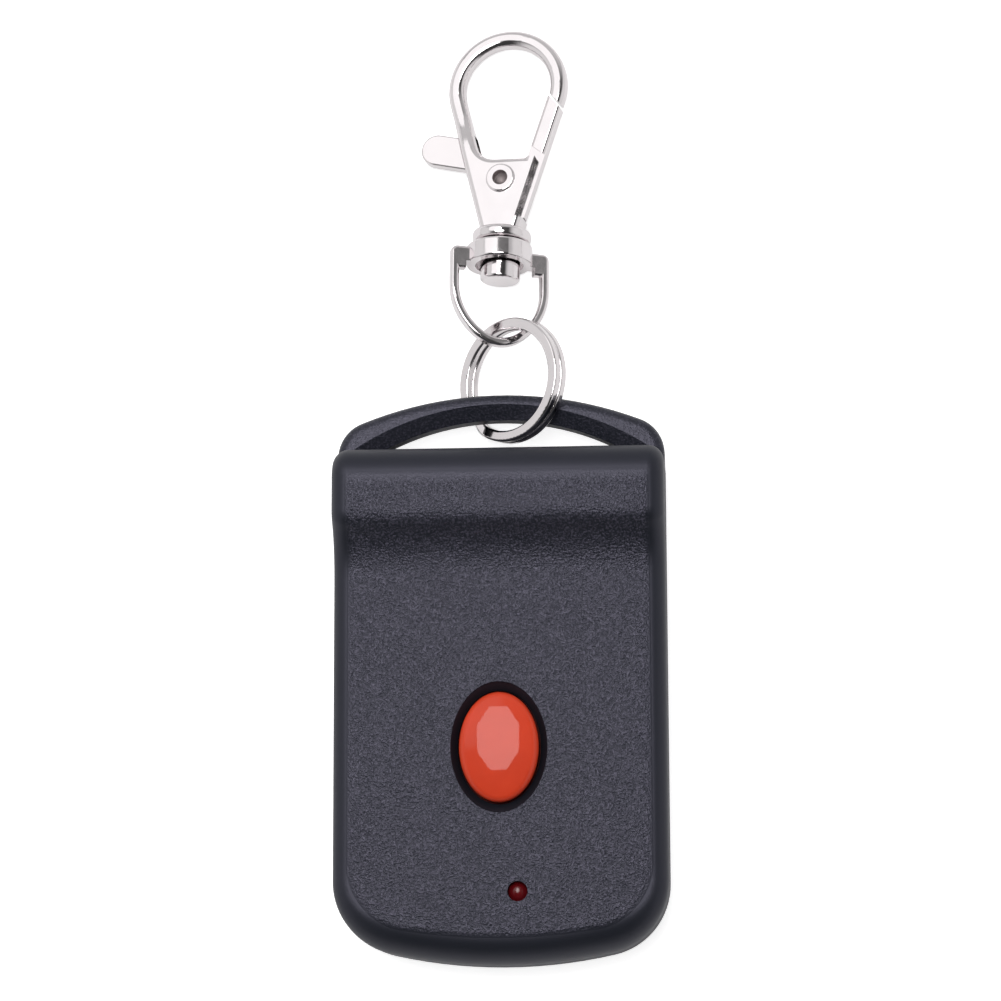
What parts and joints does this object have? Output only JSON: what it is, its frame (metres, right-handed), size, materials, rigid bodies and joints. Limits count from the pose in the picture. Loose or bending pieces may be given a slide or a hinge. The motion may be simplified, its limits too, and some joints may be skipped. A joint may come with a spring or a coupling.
{
  "type": "garage door remote",
  "caption": "Flat rectangular keychain transmitter with a raised battery end, a split carrying handle, an oval push button, a small indicator lamp, and a split ring with a swivel snap hook.",
  "frame": {"origin": "centre of the flat back face that the case lies on", "axes": "+X to the right as the front is seen with the hook at the top, +Y along the case towards the handle and the hook, +Z out of the front through the button"},
  "size_m": [0.0392, 0.1151, 0.0146],
  "materials": {
    "black_moulding": "finely textured moulding with smooth edges",
    "orange_button": "glossy",
    "red_lens": "clear red lens",
    "plated_casting": "nickel plated casting",
    "plated_wire": "nickel plated wire",
    "spring_wire": "drawn wire",
    "screw_steel": "dark zinc",
    "green_board": "solder mask",
    "copper": "bare copper",
    "plated_lead": "tinned",
    "plated_contact": "nickel plated sheet and wire",
    "battery_sleeve": "printed film over a steel can",
    "dark_moulding": "fine matt moulding",
    "red_moulding": "moulded",
    "white_lever": "moulded",
    "can_metal": "drawn can",
    "chip_ceramic": "fired body with tinned ends"
  },
  "bodies": {
    "case": {"front_shell": "black_moulding", "back_shell": "black_moulding", "case_screws": "screw_steel", "indicator_led": "red_lens", "circuit_board": "green_board", "antenna_trace": "copper", "led_leads": "plated_lead", "battery": "battery_sleeve", "positive_contact": "plated_contact", "negative_contact": "plated_contact", "battery_spring": "plated_contact", "tact_switch_base": "dark_moulding", "tact_switch_cover": "plated_contact", "tact_switch_leads": "plated_lead", "tact_switch_dome": "plated_contact", "dip_switch_housing": "red_moulding", "dip_switch_leads": "plated_lead", "encoder_chip": "dark_moulding", "encoder_leads": "plated_lead", "resonator_can": "can_metal", "tuning_coil": "copper", "transistor": "dark_moulding", "chip_components": "chip_ceramic"},
    "button": {"button_cap": "orange_button"},
    "switch_plunger": {"tact_switch_plunger": "dark_moulding"},
    "dip_lever_1": {"dip_lever_1": "white_lever"},
    "dip_lever_2": {"dip_lever_2": "white_lever"},
    "dip_lever_3": {"dip_lever_3": "white_lever"},
    "dip_lever_4": {"dip_lever_4": "white_lever"},
    "dip_lever_5": {"dip_lever_5": "white_lever"},
    "dip_lever_6": {"dip_lever_6": "white_lever"},
    "dip_lever_7": {"dip_lever_7": "white_lever"},
    "dip_lever_8": {"dip_lever_8": "white_lever"},
    "dip_lever_9": {"dip_lever_9": "white_lever"},
    "dip_lever_10": {"dip_lever_10": "white_lever"},
    "key_ring": {"split_ring": "plated_wire"},
    "loop": {"swivel_loop": "plated_casting"},
    "hook": {"snap_hook": "plated_casting", "gate_rivet": "plated_wire", "gate_spring": "spring_wire"},
    "gate": {"gate_lever": "plated_casting"}
  },
  "joints": [
    {"name": "button_press", "type": "slide", "parent": "case", "child": "button", "axis": [0, 0, -1], "range_m": [0, 0.0003], "stiffness_N_per_m": 3000, "deforming": ["tact_switch_dome"]},
    {"name": "switch_press", "type": "slide", "parent": "case", "child": "switch_plunger", "axis": [0, 0, -1], "range_m": [0, 0.0003]},
    {"name": "dip_slide_1", "type": "slide", "parent": "case", "child": "dip_lever_1", "axis": [0, 1, 0], "range_m": [0, 0.001]},
    {"name": "dip_slide_2", "type": "slide", "parent": "case", "child": "dip_lever_2", "axis": [0, 1, 0], "range_m": [0, 0.001]},
    {"name": "dip_slide_3", "type": "slide", "parent": "case", "child": "dip_lever_3", "axis": [0, 1, 0], "range_m": [0, 0.001]},
    {"name": "dip_slide_4", "type": "slide", "parent": "case", "child": "dip_lever_4", "axis": [0, 1, 0], "range_m": [0, 0.001]},
    {"name": "dip_slide_5", "type": "slide", "parent": "case", "child": "dip_lever_5", "axis": [0, 1, 0], "range_m": [0, 0.001]},
    {"name": "dip_slide_6", "type": "slide", "parent": "case", "child": "dip_lever_6", "axis": [0, 1, 0], "range_m": [0, 0.001]},
    {"name": "dip_slide_7", "type": "slide", "parent": "case", "child": "dip_lever_7", "axis": [0, 1, 0], "range_m": [0, 0.001]},
    {"name": "dip_slide_8", "type": "slide", "parent": "case", "child": "dip_lever_8", "axis": [0, 1, 0], "range_m": [0, 0.001]},
    {"name": "dip_slide_9", "type": "slide", "parent": "case", "child": "dip_lever_9", "axis": [0, 1, 0], "range_m": [0, 0.001]},
    {"name": "dip_slide_10", "type": "slide", "parent": "case", "child": "dip_lever_10", "axis": [0, 1, 0], "range_m": [0, 0.001]},
    {"name": "ring_swing", "type": "hinge", "parent": "case", "child": "key_ring", "pos_m": [0.0014, 0.03635, 0.00545], "axis": [1, 0, 0], "range_deg": [-85, 85]},
    {"name": "loop_swing", "type": "hinge", "parent": "key_ring", "child": "loop", "pos_m": [0.0014, 0.04657, 0.00585], "axis": [0.809, 0, 0.5878], "range_deg": [-60, 60]},
    {"name": "hook_swivel", "type": "hinge", "parent": "loop", "child": "hook", "pos_m": [-0.00005, 0.05546, 0.0042], "axis": [0.04, 0.9961, -0.0785], "continuous": true},
    {"name": "gate_open", "type": "hinge", "parent": "hook", "child": "gate", "pos_m": [0.00033, 0.06492, 0.00346], "axis": [-0.1704, 0.0842, 0.9818], "range_deg": [0, 25], "stiffness_Nm_per_rad": 0.01, "springref_deg": -20.05, "deforming": ["gate_spring"]}
  ],
  "couplings": [
    {"joint": "switch_press", "follows": "button_press", "ratio": 1}
  ]
}
